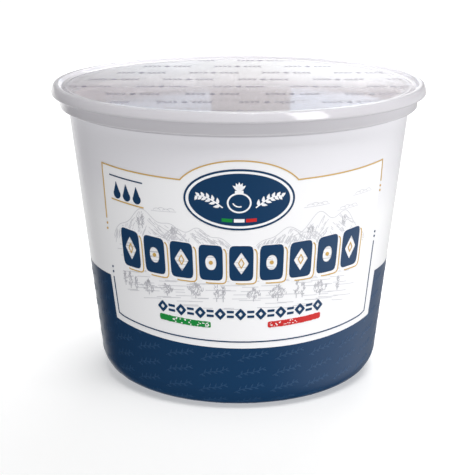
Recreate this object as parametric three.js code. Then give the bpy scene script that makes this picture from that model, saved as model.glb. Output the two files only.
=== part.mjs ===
// A round plastic tub of fresh cheese in its liquid, sealed with a clear film.
// Units are millimetres, Z is up, and the tub stands on Z = 0 with its axis on the Z axis.
//
// Three pieces, each a solid turned about that axis:
//   tub       thin-walled moulded cup: foot ring, rounded base corner, flared wall, stacking shoulder, rim bead
//   contents  the cloudy liquid, up to its level just below the rim
//   lid_film  the clear film sealed on the land inside the rim bead
import * as THREE from "three";

// Driving dimensions.
const RIM_RADIUS = 47.5; // half of the 95 mm rim that these tubs share
const HEIGHT = 75.9;
const WALL_FOOT_RADIUS = 35.43; // where the straight wall would meet Z = 0
const WALL_FLARE = 0.1115; // outward run of the wall for each millimetre of rise
const WALL = 1.0;
const CORNER_RADIUS = 7.2; // outside of the base corner
const LIQUID_LEVEL = 70.2;

// Foot ring: the middle of the base is raised, so the tub stands on a flat ring.
const BASE_RAISE = 1.2;
const FOOT_RING_INNER_RADIUS = 24.5;

// Stacking shoulder, the thicker band under the bead.
const SHOULDER_RADIUS = 45.4;
const SHOULDER_BOTTOM = 70.2;
const SHOULDER_ROUNDING = 0.4;

// Rim bead, and the land inside it that the film is sealed on.
const BEAD_BOTTOM = 73.3;
const BEAD_BOTTOM_ROUNDING = 0.6;
const BEAD_TOP_ROUNDING = 1.3;
const BEAD_CROWN_WIDTH = 0.4;
const BEAD_INNER_DROP = 0.8; // from the crown down to the land
const BEAD_INNER_RUN = 0.9;
const LAND_INNER_ROUNDING = 0.4;

// Film and the clearances between the pieces.
const FILM_THICKNESS = 0.3;
const CLEARANCE = 0.3;

const SEGMENTS = 72; // sides of each turned solid

const flareAngle = Math.atan(WALL_FLARE);
const landHeight = HEIGHT - BEAD_INNER_DROP;
const crownInnerRadius = RIM_RADIUS - BEAD_TOP_ROUNDING - BEAD_CROWN_WIDTH;
const landOuterRadius = crownInnerRadius - BEAD_INNER_RUN;

// Radius of the wall's face at a height, for a face set in from the outside by inset.
const wallRadius = (z, inset = 0) => WALL_FOOT_RADIUS + WALL_FLARE * z - inset / Math.cos(flareAngle);

// Points (r, z) along an arc, from one angle to another in radians, both ends included.
function arc(centreR, centreZ, radius, from, to, steps) {
  const points = [];
  for (let i = 0; i <= steps; i++) {
    const angle = from + ((to - from) * i) / steps;
    points.push([centreR + radius * Math.cos(angle), centreZ + radius * Math.sin(angle)]);
  }
  return points;
}

// The cup's section from the axis out along the base, round the corner and up the wall, set in by inset.
function cupSection(inset, topZ) {
  const cornerCentre = wallRadius(CORNER_RADIUS, CORNER_RADIUS);
  const slopeShift = inset * Math.tan(Math.PI / 8); // the raise's slope is at 45 degrees
  const ringRadius = FOOT_RING_INNER_RADIUS + slopeShift;
  return [
    [0, BASE_RAISE + inset],
    [ringRadius - BASE_RAISE, BASE_RAISE + inset],
    [ringRadius, inset],
    ...arc(cornerCentre, CORNER_RADIUS, CORNER_RADIUS - inset, -Math.PI / 2, -flareAngle, 6),
    [wallRadius(topZ, inset), topZ],
  ];
}

// A solid of revolution about Z from a section that starts and ends on the axis.
function turned(section) {
  const outline = section.map(([r, z]) => new THREE.Vector2(r, z));
  return new THREE.LatheGeometry(outline, SEGMENTS).rotateX(Math.PI / 2);
}

const part = new THREE.Group();

function addPiece(name, section, look) {
  const piece = new THREE.Mesh(turned(section), new THREE.MeshStandardMaterial(look));
  piece.name = name;
  part.add(piece);
}

// Tub: white polypropylene, moulded in one shot with its label in the wall.
const shoulder = arc(
  SHOULDER_RADIUS - SHOULDER_ROUNDING,
  SHOULDER_BOTTOM + SHOULDER_ROUNDING,
  SHOULDER_ROUNDING,
  -Math.PI / 2,
  0,
  2,
);
const bead = [
  [SHOULDER_RADIUS, BEAD_BOTTOM],
  ...arc(
    RIM_RADIUS - BEAD_BOTTOM_ROUNDING,
    BEAD_BOTTOM + BEAD_BOTTOM_ROUNDING,
    BEAD_BOTTOM_ROUNDING,
    -Math.PI / 2,
    0,
    3,
  ),
  ...arc(RIM_RADIUS - BEAD_TOP_ROUNDING, HEIGHT - BEAD_TOP_ROUNDING, BEAD_TOP_ROUNDING, 0, Math.PI / 2, 5),
  [crownInnerRadius, HEIGHT],
  [landOuterRadius, landHeight],
];
const landInnerRadius = wallRadius(landHeight, WALL);
const land = arc(
  landInnerRadius + LAND_INNER_ROUNDING,
  landHeight - LAND_INNER_ROUNDING,
  LAND_INNER_ROUNDING,
  Math.PI / 2,
  Math.PI,
  2,
);
const inside = cupSection(WALL, landHeight - 2 * LAND_INNER_ROUNDING).reverse();
addPiece("tub", [...cupSection(0, SHOULDER_BOTTOM), ...shoulder, ...bead, ...land, ...inside], {
  color: 0xf1f1f4,
  roughness: 0.35,
  metalness: 0,
});

// Contents: a solid of the liquid, clear of the tub's inside all round.
addPiece("contents", [...cupSection(WALL + CLEARANCE, LIQUID_LEVEL), [0, LIQUID_LEVEL]], {
  color: 0xdcdcdd,
  roughness: 0.1,
  metalness: 0,
});

// Lid film: a flat disc that lies just over the land, inside the bead.
const filmBottom = landHeight + CLEARANCE;
const filmTop = filmBottom + FILM_THICKNESS;
const filmRadius = landOuterRadius - CLEARANCE / 2;
addPiece(
  "lid_film",
  [
    [0, filmBottom],
    [filmRadius, filmBottom],
    [filmRadius, filmTop],
    [0, filmTop],
  ],
  { color: 0xd4d4dc, roughness: 0.08, metalness: 0, transparent: true, opacity: 0.4 },
);

export default part;
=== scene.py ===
import math
import random

import bpy
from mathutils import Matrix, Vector


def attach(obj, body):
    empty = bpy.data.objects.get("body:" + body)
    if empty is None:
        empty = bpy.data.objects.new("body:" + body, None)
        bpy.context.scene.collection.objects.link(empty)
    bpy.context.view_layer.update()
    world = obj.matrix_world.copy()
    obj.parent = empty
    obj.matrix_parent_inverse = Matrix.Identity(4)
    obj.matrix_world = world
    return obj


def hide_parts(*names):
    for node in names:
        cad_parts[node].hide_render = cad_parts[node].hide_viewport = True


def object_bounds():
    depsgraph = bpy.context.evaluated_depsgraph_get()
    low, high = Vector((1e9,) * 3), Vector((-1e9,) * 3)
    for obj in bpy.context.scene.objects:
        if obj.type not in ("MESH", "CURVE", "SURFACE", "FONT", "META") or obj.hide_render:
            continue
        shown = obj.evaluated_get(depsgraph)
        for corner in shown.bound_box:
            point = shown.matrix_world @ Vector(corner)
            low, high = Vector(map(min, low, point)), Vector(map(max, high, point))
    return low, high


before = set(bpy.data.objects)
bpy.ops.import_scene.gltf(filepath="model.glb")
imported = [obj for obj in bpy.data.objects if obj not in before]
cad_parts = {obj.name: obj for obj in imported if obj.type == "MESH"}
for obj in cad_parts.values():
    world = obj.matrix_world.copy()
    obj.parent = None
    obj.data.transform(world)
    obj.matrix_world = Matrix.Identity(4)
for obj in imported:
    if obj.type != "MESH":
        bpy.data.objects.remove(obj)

cad_low, cad_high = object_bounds()
MM = 0.001


# ------------------------------
# Tub: a cup of white polypropylene, injection moulded about 1 mm thick in one shot. A turned
# piece: foot ring, raised base, rounded corner, flared wall, stacking shoulder and rim bead.
# ------------------------------
RIM_RADIUS = (cad_high.x - cad_low.x) / 2 / MM
HEIGHT = cad_high.z / MM
WALL_FOOT_RADIUS = 35.43  # where the straight wall would meet the floor
WALL_FLARE = 0.1115
WALL = 1.0
CORNER_RADIUS = 7.2
BASE_RAISE = 1.2
FOOT_RING_INNER_RADIUS = 24.5
FOOT_ROUNDING = 0.3
GATE_RADIUS = 1.1  # the nub that the moulding leaves under the base
GATE_FLAT = 0.75  # the flat part of the nub, as a share of its radius
GATE_DROP = 0.4
SHOULDER_RADIUS = 45.4
SHOULDER_BOTTOM = 70.2
EDGE_ROUND = 0.4  # of the shoulder's edge and the land's inner edge
FILLET = 0.25  # above the shoulder, and where the land meets the bead
BEAD_BOTTOM = 73.3
BEAD_ROUNDING = 0.6
BEAD_FACE_RADIUS = 4.2  # the bead's outer face is an arc that bulges slightly
BEAD_FACE_RISE = 0.25
BEAD_INNER_DROP = 0.8
BEAD_INNER_RUN = 0.9
BEAD_TOP_ROUNDING = 1.3
BEAD_CROWN_WIDTH = 0.4
CROWN_SET_BACK = 1.09
CROWN_ROUNDING = 0.68
CREST_ROUNDING = 0.35
FILLET_SET_BACK = 0.1
LAND_EDGE_DROP = 0.9  # from the land down to where the inside wall runs straight
TUB_SIDES = 224

flare_angle = math.atan(WALL_FLARE)
land_height = HEIGHT - BEAD_INNER_DROP
crown_inner_radius = RIM_RADIUS - BEAD_TOP_ROUNDING - BEAD_CROWN_WIDTH
land_outer_radius = crown_inner_radius - BEAD_INNER_RUN


def wall_radius(z, inset):
    """Radius of the wall's face at height z, for a face set in from the outside."""
    return WALL_FOOT_RADIUS + WALL_FLARE * z - inset / math.cos(flare_angle)


corner_centre = wall_radius(CORNER_RADIUS, CORNER_RADIUS)
land_inner_radius = wall_radius(land_height, WALL)


def arc(centre_r, centre_z, radius, start, end, steps):
    """Points (r, z) along an arc between two angles in degrees, both ends included."""
    angles = [math.radians(start + (end - start) * i / steps) for i in range(steps + 1)]
    return [(centre_r + radius * math.cos(a), centre_z + radius * math.sin(a)) for a in angles]


def straight(start, end, steps):
    """Points from start towards end, without the end itself."""
    return [
        (start[0] + (end[0] - start[0]) * i / steps, start[1] + (end[1] - start[1]) * i / steps)
        for i in range(steps)
    ]


def cup_section(inset, top_z, gate_drop=0.0):
    """The cup's section from the axis along the base, round the corner and up the wall."""
    ring_radius = FOOT_RING_INNER_RADIUS + inset * math.tan(math.pi / 8)
    raised = BASE_RAISE + inset
    raised_radius = ring_radius - BASE_RAISE
    corner = arc(
        corner_centre, CORNER_RADIUS, CORNER_RADIUS - inset, -90, -math.degrees(flare_angle), 20
    )
    return [
        (0, raised - gate_drop),
        (GATE_FLAT * GATE_RADIUS, raised - gate_drop),
        *straight((GATE_RADIUS, raised), (raised_radius, raised), 8),
        *arc(raised_radius - FOOT_ROUNDING, raised - FOOT_ROUNDING, FOOT_ROUNDING, 90, 45, 3),
        *arc(ring_radius + FOOT_ROUNDING, inset + FOOT_ROUNDING, FOOT_ROUNDING, 225, 270, 3),
        *corner,
        *straight(corner[-1], (wall_radius(top_z, inset), top_z), 26)[1:],
        (wall_radius(top_z, inset), top_z),
    ]


def add(tree, kind, wires, **settings):
    """Adds a node of a kind to a tree, with its settings, its input values and its links.

    A node among the values stands for its first output.
    """
    node = tree.nodes.new(kind)
    for name, value in settings.items():
        setattr(node, name, value)
    for key, value in wires.items():
        value = value.outputs[0] if isinstance(value, bpy.types.Node) else value
        if isinstance(value, bpy.types.NodeSocket):
            tree.links.new(value, node.inputs[key])
        else:
            node.inputs[key].default_value = value
    return node


def geometry_tree(name, inputs):
    """A Geometry Nodes tree with a geometry in and out and the named inputs, and those inputs."""
    tree = bpy.data.node_groups.new(name, "GeometryNodeTree")
    tree.interface.new_socket("Geometry", in_out="INPUT", socket_type="NodeSocketGeometry")
    for label, kind in inputs.items():
        tree.interface.new_socket(label, in_out="INPUT", socket_type="NodeSocket" + kind)
    tree.interface.new_socket("Geometry", in_out="OUTPUT", socket_type="NodeSocketGeometry")
    return tree, add(tree, "NodeGroupInput", {}).outputs


def set_round_axis(tree, geometry, radius, turn, level):
    """Sets each point round the Z axis: at a radius, turned from the front, and at a height."""
    sine = add(tree, "ShaderNodeMath", {0: turn}, operation="SINE")
    cosine = add(tree, "ShaderNodeMath", {0: turn}, operation="COSINE")
    across = add(tree, "ShaderNodeMath", {0: radius, 1: sine}, operation="MULTIPLY")
    depth = add(tree, "ShaderNodeMath", {0: radius, 1: cosine}, operation="MULTIPLY")
    depth = add(tree, "ShaderNodeMath", {0: depth, 1: -1.0}, operation="MULTIPLY")
    place = add(tree, "ShaderNodeCombineXYZ", {"X": across, "Y": depth, "Z": level})
    return add(tree, "GeometryNodeSetPosition", {0: geometry, "Position": place})


def end_tree(tree, geometry, material):
    """Ends a tree with its geometry made real and given a material."""
    real = add(tree, "GeometryNodeRealizeInstances", {0: geometry})
    coloured = add(tree, "GeometryNodeSetMaterial", {0: real, "Material": material})
    add(tree, "NodeGroupOutput", {0: coloured})


SHARP_ANGLE = 32.0  # an edge with a sharper bend than this stays crisp


def run_tree(obj, tree, values):
    """Runs a tree on an object with values for its named inputs, and keeps the plain mesh."""
    modifier = obj.modifiers.new(tree.name, "NODES")
    modifier.node_group = tree
    for item in tree.interface.items_tree:
        if item.in_out == "INPUT" and item.name in values:
            modifier[item.identifier] = values[item.name]
    graph = bpy.context.evaluated_depsgraph_get()
    mesh = bpy.data.meshes.new_from_object(obj.evaluated_get(graph))
    obj.modifiers.remove(modifier)
    obj.data = mesh
    mesh.name = obj.name
    mesh.set_sharp_from_angle(angle=math.radians(SHARP_ANGLE))


# The tree that turns a section, a chain of points in the XZ plane, about the Z axis.
turning, given = geometry_tree("turned_about_the_axis", {"Sides": "Int", "Material": "Material"})
count = add(turning, "GeometryNodeAttributeDomainSize", {0: given["Geometry"]})
count = count.outputs["Point Count"]
columns = add(turning, "ShaderNodeMath", {0: given["Sides"], 1: 1.0}, operation="ADD")
grid = add(
    turning,
    "GeometryNodeMeshGrid",
    {"Size X": 1.0, "Size Y": 1.0, "Vertices X": count, "Vertices Y": columns},
)
place = add(turning, "GeometryNodeInputPosition", {})
spot = add(turning, "ShaderNodeSeparateXYZ", {0: place}).outputs
last = add(turning, "ShaderNodeMath", {0: count, 1: 1.0}, operation="SUBTRACT")
row = add(turning, "ShaderNodeMath", {0: spot["X"], 1: 0.5}, operation="ADD")
row = add(turning, "ShaderNodeMath", {0: row, 1: last}, operation="MULTIPLY")
row = add(turning, "ShaderNodeMath", {0: row}, operation="ROUND")
turn = add(
    turning, "ShaderNodeMath", {0: spot["Y"], 1: 2 * math.pi, 2: math.pi}, operation="MULTIPLY_ADD"
)
sampled = add(
    turning,
    "GeometryNodeSampleIndex",
    {"Geometry": given["Geometry"], "Value": place, "Index": row},
    data_type="FLOAT_VECTOR",
).outputs["Value"]
point = add(turning, "ShaderNodeSeparateXYZ", {0: sampled}).outputs
shell = set_round_axis(turning, grid, point["X"], turn, point["Z"])
shell = add(turning, "GeometryNodeMergeByDistance", {0: shell, "Distance": 1e-6})
shell = add(turning, "GeometryNodeSetShadeSmooth", {0: shell})
end_tree(turning, shell, given["Material"])


def set_down(name, corners, edges, faces):
    """A new object, at the origin, with a mesh of corners, edges and faces."""
    mesh = bpy.data.meshes.new(name)
    mesh.from_pydata(corners, edges, faces)
    piece = bpy.data.objects.new(name, mesh)
    bpy.context.collection.objects.link(piece)
    return piece


def turned(name, section, sides, material):
    """A closed piece turned about the Z axis from a section that starts and ends on the axis."""
    corners = [(r * MM, 0, z * MM) for r, z in section]
    piece = set_down(name, corners, [(i, i + 1) for i in range(len(corners) - 1)], [])
    run_tree(piece, turning, {"Sides": sides, "Material": material})
    return piece


def linear(hex_colour):
    """An sRGB hex colour, such as "#1a2b3c", as linear RGBA."""
    parts = [int(hex_colour[i : i + 2], 16) / 255 for i in (1, 3, 5)]
    return (*[p / 12.92 if p <= 0.04045 else ((p + 0.055) / 1.055) ** 2.4 for p in parts], 1.0)


GRAIN_STRENGTH = 0.02


def plastic(name, hex_colour, roughness, grain_mm, grain_depth, settings):
    """A plastic or an ink with a faint grain in its surface, and further settings."""
    material = bpy.data.materials.new(name)
    material.use_nodes = True
    tree = material.node_tree
    shader = tree.nodes["Principled BSDF"]
    place = add(tree, "ShaderNodeTexCoord", {}).outputs["Object"]
    grain = add(
        tree, "ShaderNodeTexNoise", {"Vector": place, "Scale": 1 / (grain_mm * MM), "Detail": 3.0}
    ).outputs["Fac"]
    bump = add(
        tree,
        "ShaderNodeBump",
        {"Height": grain, "Strength": GRAIN_STRENGTH, "Distance": grain_depth * MM},
    )
    shader.inputs["Base Color"].default_value = linear(hex_colour)
    shader.inputs["Roughness"].default_value = roughness
    for key, value in settings.items():
        shader.inputs[key].default_value = value
    tree.links.new(bump.outputs[0], shader.inputs["Normal"])
    return material


# White polypropylene from a polished mould: smooth and glossy, and slightly translucent, which
# softens its shadows.
moulded_white = plastic(
    "moulded_polypropylene",
    "#d1cfd4",
    roughness=0.09,
    grain_mm=0.9,
    grain_depth=0.004,
    settings={
        "IOR": 1.49,
        "Subsurface Weight": 0.2,
        "Subsurface Radius": (1.0, 0.95, 0.9),
        "Subsurface Scale": 1.2 * MM,
    },
)

tub_section = [
    *cup_section(0, SHOULDER_BOTTOM, GATE_DROP),
    *arc(SHOULDER_RADIUS - EDGE_ROUND, SHOULDER_BOTTOM + EDGE_ROUND, EDGE_ROUND, -90, 0, 5),
    *arc(SHOULDER_RADIUS + FILLET, BEAD_BOTTOM - FILLET, FILLET, 180, 90, 4),
    *arc(RIM_RADIUS - BEAD_ROUNDING, BEAD_BOTTOM + BEAD_ROUNDING, BEAD_ROUNDING, -90, 2, 9),
    *arc(RIM_RADIUS - BEAD_FACE_RADIUS, BEAD_BOTTOM + BEAD_FACE_RISE, BEAD_FACE_RADIUS, 7, 27, 10),
    *arc(RIM_RADIUS - CROWN_SET_BACK, HEIGHT - CROWN_ROUNDING, CROWN_ROUNDING, 33, 90, 8),
    *arc(crown_inner_radius, HEIGHT - CREST_ROUNDING, CREST_ROUNDING, 90, 138, 4),
    *arc(land_outer_radius - FILLET_SET_BACK, land_height + FILLET, FILLET, -42, -90, 4),
    *arc(land_inner_radius + EDGE_ROUND, land_height - EDGE_ROUND, EDGE_ROUND, 90, 180, 6),
    *reversed(cup_section(WALL, land_height - LAND_EDGE_DROP)),
]
tub = turned("tub_moulding", tub_section, TUB_SIDES, moulded_white)
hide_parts("tub")
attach(tub, "root")


# ------------------------------
# Label film: a thin polypropylene film, printed white, that is moulded on to the wall all round.
# It ends just under the shoulder and just above the foot, and its two ends meet on the right, at
# a thin gap. Towards the top its white is painted greyer: a painted shade from the rim above.
# ------------------------------
LABEL_RADIUS = 40.0  # a millimetre of label length s turns this far: s / LABEL_RADIUS
HALF_LABEL = math.pi * LABEL_RADIUS / 2
SEAM_GAP = 0.3
LABEL_TOP = 69.5
LABEL_BOTTOM = -3.0  # heights below the corner's top are lengths along the corner
LAYER = 0.03
SUNK = 0.01  # how far a print reaches into the film, and the film into the wall
COLUMN = 1.1  # the longest face along the label, and below the longest up the corner and the wall
CORNER_ROW = 0.6
WALL_ROW = 8.0
UNSHADED_WHITE = "#f8f8fa"
PAINTED_SHADE_WHITE = "#ebeaef"
SHADE_START_HEIGHT = 45.0  # up to here the film's white carries no painted shade, and above the next height the painted shade is full
SHADE_FULL_HEIGHT = 58.0
LABEL_IOR = 1.45
LABEL_GRAIN = 1.4
LABEL_GRAIN_DEPTH = 0.0015
corner_top = CORNER_RADIUS * (1 - math.sin(flare_angle))

# The tree that makes a flat drawing solid: its faces are raised, and closed below and all round.
thickening, given = geometry_tree(
    "drawing_made_solid", {"Lift": "Float", "Thickness": "Float", "Material": "Material"}
)
low = add(thickening, "ShaderNodeCombineXYZ", {"Z": given["Lift"]})
high = add(thickening, "ShaderNodeCombineXYZ", {"Z": given["Thickness"]})
flat = add(thickening, "GeometryNodeMergeByDistance", {0: given["Geometry"], "Distance": 1e-6})
flat = add(thickening, "GeometryNodeSetPosition", {0: flat, "Offset": low})
raised = add(
    thickening,
    "GeometryNodeExtrudeMesh",
    {"Mesh": flat, "Offset": high, "Offset Scale": 1.0, "Individual": False},
    mode="FACES",
)
under = add(thickening, "GeometryNodeFlipFaces", {0: flat})
both = add(thickening, "GeometryNodeJoinGeometry", {0: raised})
thickening.links.new(under.outputs[0], both.inputs[0])
solid = add(thickening, "GeometryNodeMergeByDistance", {0: both, "Distance": 1e-6})
end_tree(thickening, solid, given["Material"])

# The tree that wraps a drawing round the cup: X is the length along the label, Y the height up
# the wall or back along the corner, and Z the distance out from the wall.
wrapping, given = geometry_tree(
    "wrapped_round_the_cup",
    {
        "Label radius": "Float",
        "Corner radius": "Float",
        "Corner centre": "Float",
        "Corner top": "Float",
        "Flare": "Float",
        "Flare angle": "Float",
        "Material": "Material",
    },
)
place = add(wrapping, "GeometryNodeInputPosition", {})
spot = add(wrapping, "ShaderNodeSeparateXYZ", {0: place}).outputs
above = add(
    wrapping, "ShaderNodeMath", {0: spot["Y"], 1: given["Corner top"]}, operation="SUBTRACT"
)
rise = add(wrapping, "ShaderNodeMath", {0: above, 1: 0.0}, operation="MAXIMUM")
below = add(wrapping, "ShaderNodeMath", {0: above, 1: 0.0}, operation="MINIMUM")
bend = add(wrapping, "ShaderNodeMath", {0: below, 1: given["Corner radius"]}, operation="DIVIDE")
bend = add(wrapping, "ShaderNodeMath", {0: given["Flare angle"], 1: bend}, operation="SUBTRACT")
reach = add(wrapping, "ShaderNodeMath", {0: given["Corner radius"], 1: spot["Z"]}, operation="ADD")
outward = add(wrapping, "ShaderNodeMath", {0: bend}, operation="COSINE")
downward = add(wrapping, "ShaderNodeMath", {0: bend}, operation="SINE")
wires = {0: reach, 1: outward, 2: given["Corner centre"]}
radius = add(wrapping, "ShaderNodeMath", wires, operation="MULTIPLY_ADD")
wires = {0: rise, 1: given["Flare"], 2: radius}
radius = add(wrapping, "ShaderNodeMath", wires, operation="MULTIPLY_ADD")
fall = add(wrapping, "ShaderNodeMath", {0: reach, 1: downward}, operation="MULTIPLY")
level = add(wrapping, "ShaderNodeMath", {0: given["Corner radius"], 1: rise}, operation="ADD")
level = add(wrapping, "ShaderNodeMath", {0: level, 1: fall}, operation="SUBTRACT")
turn = add(wrapping, "ShaderNodeMath", {0: spot["X"], 1: given["Label radius"]}, operation="DIVIDE")
wrapped = set_round_axis(wrapping, given["Geometry"], radius, turn, level)
wrapped = add(wrapping, "GeometryNodeSetShadeSmooth", {0: wrapped})
end_tree(wrapping, wrapped, given["Material"])


def drawing(name, faces):
    """A flat piece from faces that are lists of (s, v) points in millimetres."""
    corners, polygons = [], []
    for face in faces:
        turns = sum(a[0] * b[1] - b[0] * a[1] for a, b in zip(face, face[1:] + face[:1]))
        outline = face if turns > 0 else face[::-1]
        polygons.append(range(len(corners), len(corners) + len(outline)))
        corners += [(s * MM, v * MM, 0) for s, v in outline]
    return set_down(name, corners, [], polygons)


def printed(name, faces, layer, ink):
    """A print of one ink, whose face is a number of layers above the label film's."""
    piece = drawing(name, faces)
    lift = LAYER - SUNK if layer else -SUNK
    thickness = (layer + 1) * LAYER - lift
    run_tree(piece, thickening, {"Lift": lift * MM, "Thickness": thickness * MM, "Material": ink})
    run_tree(
        piece,
        wrapping,
        {
            "Label radius": LABEL_RADIUS * MM,
            "Corner radius": CORNER_RADIUS * MM,
            "Corner centre": corner_centre * MM,
            "Corner top": corner_top * MM,
            "Flare": WALL_FLARE,
            "Flare angle": flare_angle,
            "Material": ink,
        },
    )
    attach(piece, "root")


def quads(rows):
    """Four-sided faces between neighbouring rows of points."""
    return [
        [low_row[i], low_row[i + 1], high_row[i + 1], high_row[i]]
        for low_row, high_row in zip(rows, rows[1:])
        for i in range(len(low_row) - 1)
    ]


def spread(start, end, longest):
    """Values from start to end, both included, no further apart than longest."""
    steps = max(1, math.ceil(abs(end - start) / longest - 1e-9))
    return [start + (end - start) * i / steps for i in range(steps + 1)]


def label_plastic(name, hex_colour, roughness):
    """The label's film or one of its inks, all with the polished mould's faint grain."""
    return plastic(name, hex_colour, roughness, LABEL_GRAIN, LABEL_GRAIN_DEPTH, {"IOR": LABEL_IOR})


# Printed polypropylene film: even and satin, since the polished mould pressed it. Towards its top
# its white is painted greyer: a painted shade from the rim above, not a change in the film.
label_white = label_plastic("white_label_film", UNSHADED_WHITE, 0.27)
tree = label_white.node_tree
place = add(tree, "ShaderNodeTexCoord", {}).outputs["Object"]
height = add(tree, "ShaderNodeSeparateXYZ", {0: place}).outputs["Z"]
painted_shade = add(tree, "ShaderNodeMapRange", {0: height, 1: SHADE_START_HEIGHT * MM, 2: SHADE_FULL_HEIGHT * MM})
wires = {0: painted_shade, 6: linear(UNSHADED_WHITE), 7: linear(PAINTED_SHADE_WHITE)}
shade = add(tree, "ShaderNodeMix", wires, data_type="RGBA").outputs[2]
tree.links.new(shade, tree.nodes["Principled BSDF"].inputs["Base Color"])

label_heights = spread(LABEL_BOTTOM, corner_top, CORNER_ROW)[:-1]
label_heights += spread(corner_top, LABEL_TOP, WALL_ROW)
label_lengths = spread(SEAM_GAP / 2 - 3 * HALF_LABEL, HALF_LABEL - SEAM_GAP / 2, COLUMN)
label_faces = quads([[(s, v) for s in label_lengths] for v in label_heights])
printed("label_film", label_faces, layer=0, ink=label_white)


# ------------------------------
# Navy band: gravure ink, full depth, from the foot to half height and round the corner. It leaves
# a white panel open at the front and another at the back, each with a bottom that dips.
# ------------------------------
BAND_BOTTOM = -2.7
BAND_TOP = 31.0
PANEL_LEFT = -37.6
PANEL_RIGHT = 42.0
PANEL_SLANT = 0.035  # how far each side of the panel leans out for each millimetre of height
PANEL_BOTTOM = 16.9  # height of the lower edge at the middle, with its tilt and its bend
PANEL_BOTTOM_TILT = -0.0112
PANEL_BOTTOM_BEND = 0.00168
PANEL_MIDDLES = (0.0, -2 * HALF_LABEL)
ROWS_UNDER_PANEL = 4
ROWS_BESIDE_PANEL = 3


def panel_bottom(s):
    """Height of the panel's lower edge, level beyond its ends."""
    s = min(max(s, PANEL_LEFT), PANEL_RIGHT)
    return PANEL_BOTTOM + PANEL_BOTTOM_TILT * s + PANEL_BOTTOM_BEND * s * s


def band_faces(start, end):
    """Faces of the band round one panel, from start to end along the label."""
    faces = []
    for left, right, lean_left, lean_right in (
        (start, PANEL_LEFT, 0, -PANEL_SLANT),
        (PANEL_LEFT, PANEL_RIGHT, None, None),
        (PANEL_RIGHT, end, PANEL_SLANT, 0),
    ):
        lengths = spread(left, right, COLUMN)
        lower = [[(s, v) for s in lengths] for v in spread(BAND_BOTTOM, corner_top, CORNER_ROW)]
        for part in spread(0, 1, 1 / ROWS_UNDER_PANEL)[1:]:
            lower.append([(s, corner_top + (panel_bottom(s) - corner_top) * part) for s in lengths])
        faces += quads(lower)
        if lean_left is None:
            continue
        upper = []
        for part in spread(0, 1, 1 / ROWS_BESIDE_PANEL):
            v = panel_bottom(left) + (BAND_TOP - panel_bottom(left)) * part
            rise = v - panel_bottom(left)
            a, b = left + lean_left * rise, right + lean_right * rise
            upper.append([(a + (b - a) * (s - left) / (right - left), v) for s in lengths])
        faces += quads(upper)
    return faces


def moved(faces, along, up=0.0):
    """The same faces moved along the label and up it."""
    return [[(s + along, v + up) for s, v in face] for face in faces]


def on_both_panels(faces):
    """The same faces on the front panel and on the back one."""
    return [face for middle in PANEL_MIDDLES for face in moved(faces, middle)]


# Navy gravure ink: dense and even, with the film's own gloss over it.
navy_ink = label_plastic("navy_gravure_ink", "#0d3a61", 0.3)

printed(
    "label_navy_band",
    band_faces(-HALF_LABEL, HALF_LABEL - SEAM_GAP / 2)
    + moved(band_faces(-HALF_LABEL + SEAM_GAP / 2, HALF_LABEL), PANEL_MIDDLES[1]),
    layer=1,
    ink=navy_ink,
)


# ------------------------------
# Sprigs: a tone-on-tone pattern printed on the navy in a lighter ink, in staggered rows of small
# leafy sprigs that all rise to the right. It is cut off where the panels begin.
# ------------------------------
SPRIG_PITCH = 9.8
SPRIG_ROW_PITCH = 4.3
SPRIG_SHIFT = 0.45
SPRIG_START = (-0.3, 13.6)
SPRIG_LENGTH = 7.8
SPRIG_RISE = 2.4
STEM_SWAY = 0.28
STEM_WIDTH = 0.18
STEM_PIECES = 12
LEAVES = 9
FIRST_LEAF = 0.06  # where the first leaf grows, as a share of the stem
LEAF_LENGTH = 1.3
LEAF_WIDTH = 0.4
LEAF_ANGLE = 22  # the middle of the leaves' angles, and how far they lean to each side of it
LEAF_LEAN = 44
MARGIN_BELOW = 0.2  # how far the sprigs keep from the band's edges
MARGIN_ABOVE = 0.25
MARGIN_END = 0.3
MARGIN_BESIDE_PANEL = 0.6

# The tree that repeats a drawing in rows, each shifted against the one below it.
staggering, given = geometry_tree(
    "staggered_rows",
    {
        "Columns": "Int",
        "Rows": "Int",
        "Pitch": "Float",
        "Row pitch": "Float",
        "Shift": "Float",
        "Start": "Vector",
        "Material": "Material",
    },
)
number = add(staggering, "GeometryNodeInputIndex", {})
row = add(staggering, "ShaderNodeMath", {0: number, 1: given["Columns"]}, operation="DIVIDE")
row = add(staggering, "ShaderNodeMath", {0: row}, operation="FLOOR")
column = add(staggering, "ShaderNodeMath", {0: number, 1: given["Columns"]}, operation="MODULO")
along = add(staggering, "ShaderNodeMath", {0: column, 1: given["Pitch"]}, operation="MULTIPLY")
along = add(
    staggering, "ShaderNodeMath", {0: row, 1: given["Shift"], 2: along}, operation="MULTIPLY_ADD"
)
up = add(staggering, "ShaderNodeMath", {0: row, 1: given["Row pitch"]}, operation="MULTIPLY")
place = add(staggering, "ShaderNodeCombineXYZ", {"X": along, "Y": up})
place = add(staggering, "ShaderNodeVectorMath", {0: place, 1: given["Start"]}, operation="ADD")
total = add(
    staggering, "ShaderNodeMath", {0: given["Columns"], 1: given["Rows"]}, operation="MULTIPLY"
)
points = add(staggering, "GeometryNodePoints", {"Count": total, "Position": place})
copies = add(
    staggering,
    "GeometryNodeInstanceOnPoints",
    {"Points": points, "Instance": given["Geometry"]},
)
end_tree(staggering, copies, given["Material"])


def repeated(name, faces, material, start, columns, rows, pitch, row_pitch, shift):
    """The faces of a drawing repeated in staggered rows, as lists of points in millimetres."""
    piece = drawing(name, faces)
    run_tree(
        piece,
        staggering,
        {
            "Columns": columns,
            "Rows": rows,
            "Pitch": pitch * MM,
            "Row pitch": row_pitch * MM,
            "Shift": shift * MM,
            "Start": (start[0] * MM, start[1] * MM, 0),
            "Material": material,
        },
    )
    corners = [(v.co.x / MM, v.co.y / MM) for v in piece.data.vertices]
    found = [[corners[i] for i in polygon.vertices] for polygon in piece.data.polygons]
    bpy.data.objects.remove(piece)
    return found


SHARPEST_MITRE = 0.4


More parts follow.
